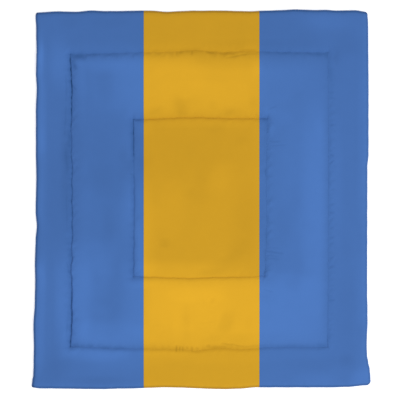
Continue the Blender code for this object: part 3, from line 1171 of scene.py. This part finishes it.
def bead_faces():
    """The faces of one bead: rings joined side by side, and its two ends closed."""
    numbers = np.arange(len(STITCH_RINGS) * STITCH_ROUND).reshape(-1, STITCH_ROUND)
    faces = []
    for low, high in zip(numbers, numbers[1:]):
        sides = np.column_stack([low, np.roll(low, -1), np.roll(high, -1), high])
        faces += sides.tolist()
    return [*faces, numbers[0, ::-1].tolist(), numbers[-1].tolist()]


# %% Beads of thread


def bead_points(tips, outwards):
    """The points of every bead, by stitch, by ring and round the ring, from the stitches' tips.

    A bead's points lie at a share of the way from its start to its end, and in a circle across
    it. Its middle is lifted off the cloth by an arch that goes with the sine of the share.
    """
    way = tips[1] - tips[0]
    across = np.column_stack([-way[:, 1], way[:, 0], np.zeros(len(way))])
    across /= np.linalg.norm(across, axis=1)[:, None]
    share, thick = np.array(STITCH_RINGS).T[:, :, None, None]
    turn = (np.arange(STITCH_ROUND) * 2 * np.pi / STITCH_ROUND)[:, None]
    middle = tips[0][:, None, None] + way[:, None, None] * share
    radius = THREAD_RADIUS * thick
    lift = radius * np.sin(turn) + outwards * STITCH_ARCH * np.sin(np.pi * share)
    return middle + across[:, None, None] * radius * np.cos(turn) + lift * np.array([0, 0, 1])


def stitched(name, rectangle, outwards):
    """Every stitch of one rectangle, as one mesh of closed beads on the face (1) or back (-1)."""
    height = (lambda x, y: face_height(x, y)[0]) if outwards > 0 else back_height
    tips = [np.column_stack([*laid(*tip.T), height(*tip.T)]) for tip in round_the_row(rectangle)]
    points = bead_points(tips, outwards).reshape(-1, 3)
    bead = bead_faces()
    starts = range(0, len(points), len(STITCH_RINGS) * STITCH_ROUND)
    faces = [[start + point for point in face] for start in starts for face in bead]
    piece = surfaced(name, points, faces)
    piece.data.shade_smooth()
    counted(piece, len(tips[0]), "stitches,")
    return piece


threads = [
    stitched("outer_stitches", OUTER, 1),
    stitched("inner_stitches", INNER, 1),
    stitched("outer_stitches_back", OUTER, -1),
    stitched("inner_stitches_back", INNER, -1),
]

# %% [markdown]
# ## The print
#
# The stripe is printed on the cloth, so it runs straight over the quilting with no seam, and its
# two edges bleed a little between the yarns. It could be a picture, but two smooth steps along the
# x direction are sharper at any distance. It is a node group, because the thread shows it too.

# %% Node helpers


def put(tree, socket, value):
    """Sets a socket to a number or colour, or links another node's output to it."""
    if isinstance(value, bpy.types.NodeSocket):
        tree.links.new(value, socket)
    else:
        socket.default_value = value


def outputs_of(tree, kind, values, **settings):
    """The outputs of a new shader node, with its settings made and its inputs set or linked."""
    node = tree.nodes.new("ShaderNode" + kind)
    for name, value in settings.items():
        setattr(node, name, value)
    for socket, value in values.items():
        put(tree, node.inputs[socket], value)
    return node.outputs


def number(tree, operation, *values):
    """Arithmetic on numbers and on other nodes' outputs."""
    return outputs_of(tree, "Math", dict(enumerate(values)), operation=operation)[0]


def scaled(tree, vector, factor):
    """A colour or vector times a number."""
    return outputs_of(tree, "VectorMath", {0: vector, "Scale": factor}, operation="SCALE")[0]


def stretched(tree, vector, per_axis):
    """A vector with each of its three parts times its own number."""
    return outputs_of(tree, "VectorMath", {0: vector, 1: per_axis}, operation="MULTIPLY")[0]


def parts_of(tree, vector):
    """The x, y and z parts of a vector."""
    return outputs_of(tree, "SeparateXYZ", {0: vector})


def mixed(tree, share, first, second):
    """Two colours mixed by a share."""
    return outputs_of(tree, "Mix", {"Factor": share, 6: first, 7: second}, data_type="RGBA")[2]


def step_up(tree, value, low, high):
    """0 below low, 1 above high, and a smooth step between."""
    values = {"Value": value, "From Min": low, "From Max": high}
    return outputs_of(tree, "MapRange", values, interpolation_type="SMOOTHSTEP")["Result"]


def noise(tree, place, per_m, detail=2):
    """Cloudy noise round 0.5, with about per_m clouds to the metre."""
    values = {"Vector": place, "Scale": per_m, "Detail": detail}
    return outputs_of(tree, "TexNoise", values)["Fac"]


def attribute(tree, name):
    """A number that the mesh carries at its points."""
    return outputs_of(tree, "Attribute", {}, attribute_name=name)["Fac"]


def new_group(name, inputs, outputs):
    """An empty node group with named sockets, and its input and output nodes' sockets."""
    tree = bpy.data.node_groups.new(name, "ShaderNodeTree")
    for way, sockets in (("INPUT", inputs), ("OUTPUT", outputs)):
        for label, kind in sockets.items():
            tree.interface.new_socket(label, in_out=way, socket_type="NodeSocket" + kind)
    return tree, tree.nodes.new("NodeGroupInput").outputs, tree.nodes.new("NodeGroupOutput").inputs


def use(tree, group, **values):
    """A group placed in a material, with its inputs set or linked, and its outputs."""
    return outputs_of(tree, "Group", values, node_tree=group)


# %% Striped print
BLUE = (0.0611, 0.1557, 0.4250, 1)
GOLD = (0.6080, 0.3270, 0.0185, 1)
BLUE_PAINTED_SHADE = (0.0061, 0.0467, 0.1530, 1)
GOLD_PAINTED_SHADE = (0.2128, 0.1046, 0.0037, 1)
OVERPRINT = (0.040, 0.120, 0.045, 1)
STRIPE_LEFT = -0.3480
STRIPE_RIGHT = 0.3532
BLEED = 0.0004
OVERLAP = 0.0011
YARNS_PER_M = 900
YARN_STRAY = 0.0016


def striped_print():
    """The dye and the dark colour that painted shade mixes it towards, which change at the stripe's
    two bleeding edges.

    Both inks lie on each other along each edge, for OVERLAP, and look dark green there.
    """
    tree, inputs, outputs = new_group(
        "striped_print", {"Place": "Vector"}, {"Dye": "Color", "PaintedShade": "Color"}
    )
    yarn = number(tree, "SUBTRACT", noise(tree, inputs["Place"], YARNS_PER_M), 0.5)
    stray = number(tree, "MULTIPLY", yarn, YARN_STRAY)
    x = number(tree, "ADD", parts_of(tree, inputs["Place"])["X"], stray)
    past = [step_up(tree, x, at - BLEED, at + BLEED) for at in (STRIPE_LEFT, STRIPE_RIGHT)]
    stripe = number(tree, "SUBTRACT", *past)
    middle = (STRIPE_LEFT + STRIPE_RIGHT) / 2
    half = (STRIPE_RIGHT - STRIPE_LEFT) / 2
    off_middle = number(tree, "ABSOLUTE", number(tree, "SUBTRACT", x, middle))
    off_edge = number(tree, "ABSOLUTE", number(tree, "SUBTRACT", off_middle, half))
    apart = step_up(tree, off_edge, OVERLAP / 2 - BLEED / 2, OVERLAP / 2 + BLEED / 2)
    put(tree, outputs["Dye"], mixed(tree, apart, OVERPRINT, mixed(tree, stripe, BLUE, GOLD)))
    put(tree, outputs["PaintedShade"], mixed(tree, stripe, BLUE_PAINTED_SHADE, GOLD_PAINTED_SHADE))
    return tree


PRINT = striped_print()

# %% [markdown]
# ## Weave, crinkles and wear
#
# The cloth is a fine brushed microfibre. Close to it the yarns go over and under, a little further
# off the cloth has soft crinkles and an uneven nap, and the sewn edge, which is handled most, is
# rubbed a little pale. All three could be in one material, but the back cloth has them too, so
# each is a node group that puts out a height in metres or a share.

# %% Weave
YARN_PITCH = 0.0011
YARN_HEIGHT = 0.00005


def plain_weave():
    """Over and under yarns: the height goes with the product of a sine along x and one along y."""
    tree, inputs, outputs = new_group(
        "plain_weave", {"Place": "Vector", "Pitch": "Float"}, {"Height": "Float", "Over": "Float"}
    )
    turns = number(tree, "DIVIDE", np.pi, inputs["Pitch"])
    parts = parts_of(tree, scaled(tree, inputs["Place"], turns))
    waves = [number(tree, "SINE", parts[axis]) for axis in "XY"]
    over = number(tree, "MULTIPLY_ADD", number(tree, "MULTIPLY", *waves), 0.5, 0.5)
    put(tree, outputs["Over"], over)
    put(tree, outputs["Height"], number(tree, "MULTIPLY", over, YARN_HEIGHT))
    return tree


WEAVE = plain_weave()

# %% Crinkles and nap
CRINKLE_STRETCH = (0.35, 1.0, 1.0)
CRINKLES_PER_M = 42
RUMPLES_PER_M = 11
RUMPLE_SHARE = 1.5
PATCHES_PER_M = 16
LINT_PER_M = 600
LINT_SHARE = 0.6


def soft_nap():
    """Small crinkles that run mostly across the width, and patches of nap that lie unevenly."""
    tree, inputs, outputs = new_group(
        "soft_nap", {"Place": "Vector", "Crinkle": "Float"}, {"Height": "Float", "Patch": "Float"}
    )
    place = inputs["Place"]
    across = noise(tree, stretched(tree, place, CRINKLE_STRETCH), CRINKLES_PER_M, detail=3)
    broad = number(tree, "MULTIPLY", noise(tree, place, RUMPLES_PER_M), RUMPLE_SHARE)
    both = number(tree, "ADD", across, broad)
    put(tree, outputs["Height"], number(tree, "MULTIPLY", both, inputs["Crinkle"]))
    patches = number(tree, "SUBTRACT", noise(tree, place, PATCHES_PER_M, detail=4), 0.5)
    lint = number(tree, "SUBTRACT", noise(tree, place, LINT_PER_M, detail=1), 0.5)
    lint = number(tree, "MULTIPLY", lint, LINT_SHARE)
    put(tree, outputs["Patch"], number(tree, "ADD", patches, lint))
    return tree


NAP = soft_nap()

# %% Wear
SPECKS_PER_M = 420
SPECKS_FROM = 0.78
SPECKS_MORE = -0.35
SPECK_EDGE = 0.12


def rubbed():
    """Where the nap is rubbed: specks of noise, more of them the nearer to the sewn edge."""
    tree, inputs, outputs = new_group(
        "rubbed", {"Place": "Vector", "Near": "Float"}, {"Worn": "Float"}
    )
    specks = noise(tree, inputs["Place"], SPECKS_PER_M, detail=4)
    reach = number(tree, "MULTIPLY_ADD", inputs["Near"], SPECKS_MORE, SPECKS_FROM)
    worn = step_up(tree, number(tree, "SUBTRACT", specks, reach), 0, SPECK_EDGE)
    put(tree, outputs["Worn"], number(tree, "MULTIPLY", worn, inputs["Near"]))
    return tree


WEAR = rubbed()

# %% [markdown]
# ## Cloth and thread materials
#
# The face cloth takes the print, with light painted on where the swells lift it and shade painted
# beside the rows, along the edge and in the creases, by two numbers that the surface carries. The
# back cloth is the plain blue. The thread is a clear one, as on many printed comforters, so it
# shows the print darkened a little, and it shines more.

# %% What the materials share


def finished(material, colour, roughness, height):
    """The material with a colour, a roughness and a height in metres linked to its shader."""
    tree = material.node_tree
    shader = tree.nodes["Principled BSDF"]
    normal = outputs_of(tree, "Bump", {"Distance": 1, "Height": height})["Normal"]
    for socket, value in {"Base Color": colour, "Roughness": roughness, "Normal": normal}.items():
        put(tree, shader.inputs[socket], value)
    return material


# %% Cloth materials
SHEEN = 0.08
CLOTH_GLOSS = 0.03
CRINKLE = 0.00030
SHADE = 0.985
PATCH_SHADE = 0.05
YARN_SHADE = 0.03
WORN_SHADE = 0.10
ROUGHNESS = 0.85
PATCH_ROUGHNESS = 0.12


def cloth_material(name, printed):
    """A woven material, with the print and its painted light and shade, or in the plain blue."""
    material = material_of(name, {"Specular IOR Level": CLOTH_GLOSS, "Sheen Weight": SHEEN})
    tree = material.node_tree
    place = outputs_of(tree, "TexCoord", {})["Object"]
    weave = use(tree, WEAVE, Place=place, Pitch=YARN_PITCH)
    nap = use(tree, NAP, Place=place, Crinkle=CRINKLE)
    wear = use(tree, WEAR, Place=place, Near=attribute(tree, "rim"))
    shade = number(tree, "MULTIPLY_ADD", nap["Patch"], PATCH_SHADE, SHADE)
    # Painted shade: the colour is a little darker where the yarns dip under, in the weave's hollows
    shade = number(tree, "MULTIPLY_ADD", weave["Over"], YARN_SHADE, shade)
    if printed:
        dyed = use(tree, PRINT, Place=place)
        # Painted light and shade: the colour is lighter on the swells and darker in the dents
        shade = number(tree, "MULTIPLY", shade, number(tree, "ADD", attribute(tree, "painted_light"), 1))
        dye = scaled(tree, dyed["Dye"], shade)
        # Painted shade: the dye is mixed towards its dark shade colour beside the rows, along the
        # sewn edge and in the creases
        colour = mixed(tree, attribute(tree, "painted_shade"), dye, dyed["PaintedShade"])
    else:
        colour = scaled(tree, BLUE[:3], shade)
    colour = scaled(tree, colour, number(tree, "MULTIPLY_ADD", wear["Worn"], WORN_SHADE, 1))
    rough = number(tree, "MULTIPLY_ADD", nap["Patch"], PATCH_ROUGHNESS, ROUGHNESS)
    height = number(tree, "ADD", weave["Height"], nap["Height"])
    return finished(material, colour, rough, height)


# %% Thread material
TWIST_PITCH = 0.0009
TWIST_HEIGHT = 0.00012
THREAD_GLOSS = 0.2
THREAD_SHADE = 0.93
TWIST_SHADE = 0.07
THREAD_ROUGHNESS = 0.52
TWIST_ROUGHNESS = -0.06


def thread_material():
    """Clear thread: the print made a little darker, with shade painted into the twist's hollows,
    and a smoother surface.
    """
    material = material_of("quilting_thread", {"Specular IOR Level": THREAD_GLOSS})
    tree = material.node_tree
    place = outputs_of(tree, "TexCoord", {})["Object"]
    parts = parts_of(tree, scaled(tree, place, 2 * np.pi / TWIST_PITCH))
    twist = number(tree, "SINE", number(tree, "ADD", parts["X"], parts["Y"]))
    dye = use(tree, PRINT, Place=place)["Dye"]
    # Painted shade: darker in the twist's hollows
    colour = scaled(tree, dye, number(tree, "MULTIPLY_ADD", twist, TWIST_SHADE, THREAD_SHADE))
    rough = number(tree, "MULTIPLY_ADD", twist, TWIST_ROUGHNESS, THREAD_ROUGHNESS)
    height = number(tree, "MULTIPLY", twist, TWIST_HEIGHT)
    return finished(material, colour, rough, height)


# %% Finishes and bodies
comforter.data.materials.append(cloth_material("printed_cloth", True))
comforter.data.materials.append(cloth_material("back_cloth", False))
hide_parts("comforter")
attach(comforter, "root")
THREAD = thread_material()
for thread in threads:
    thread.data.materials.append(THREAD)
    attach(thread, "root")
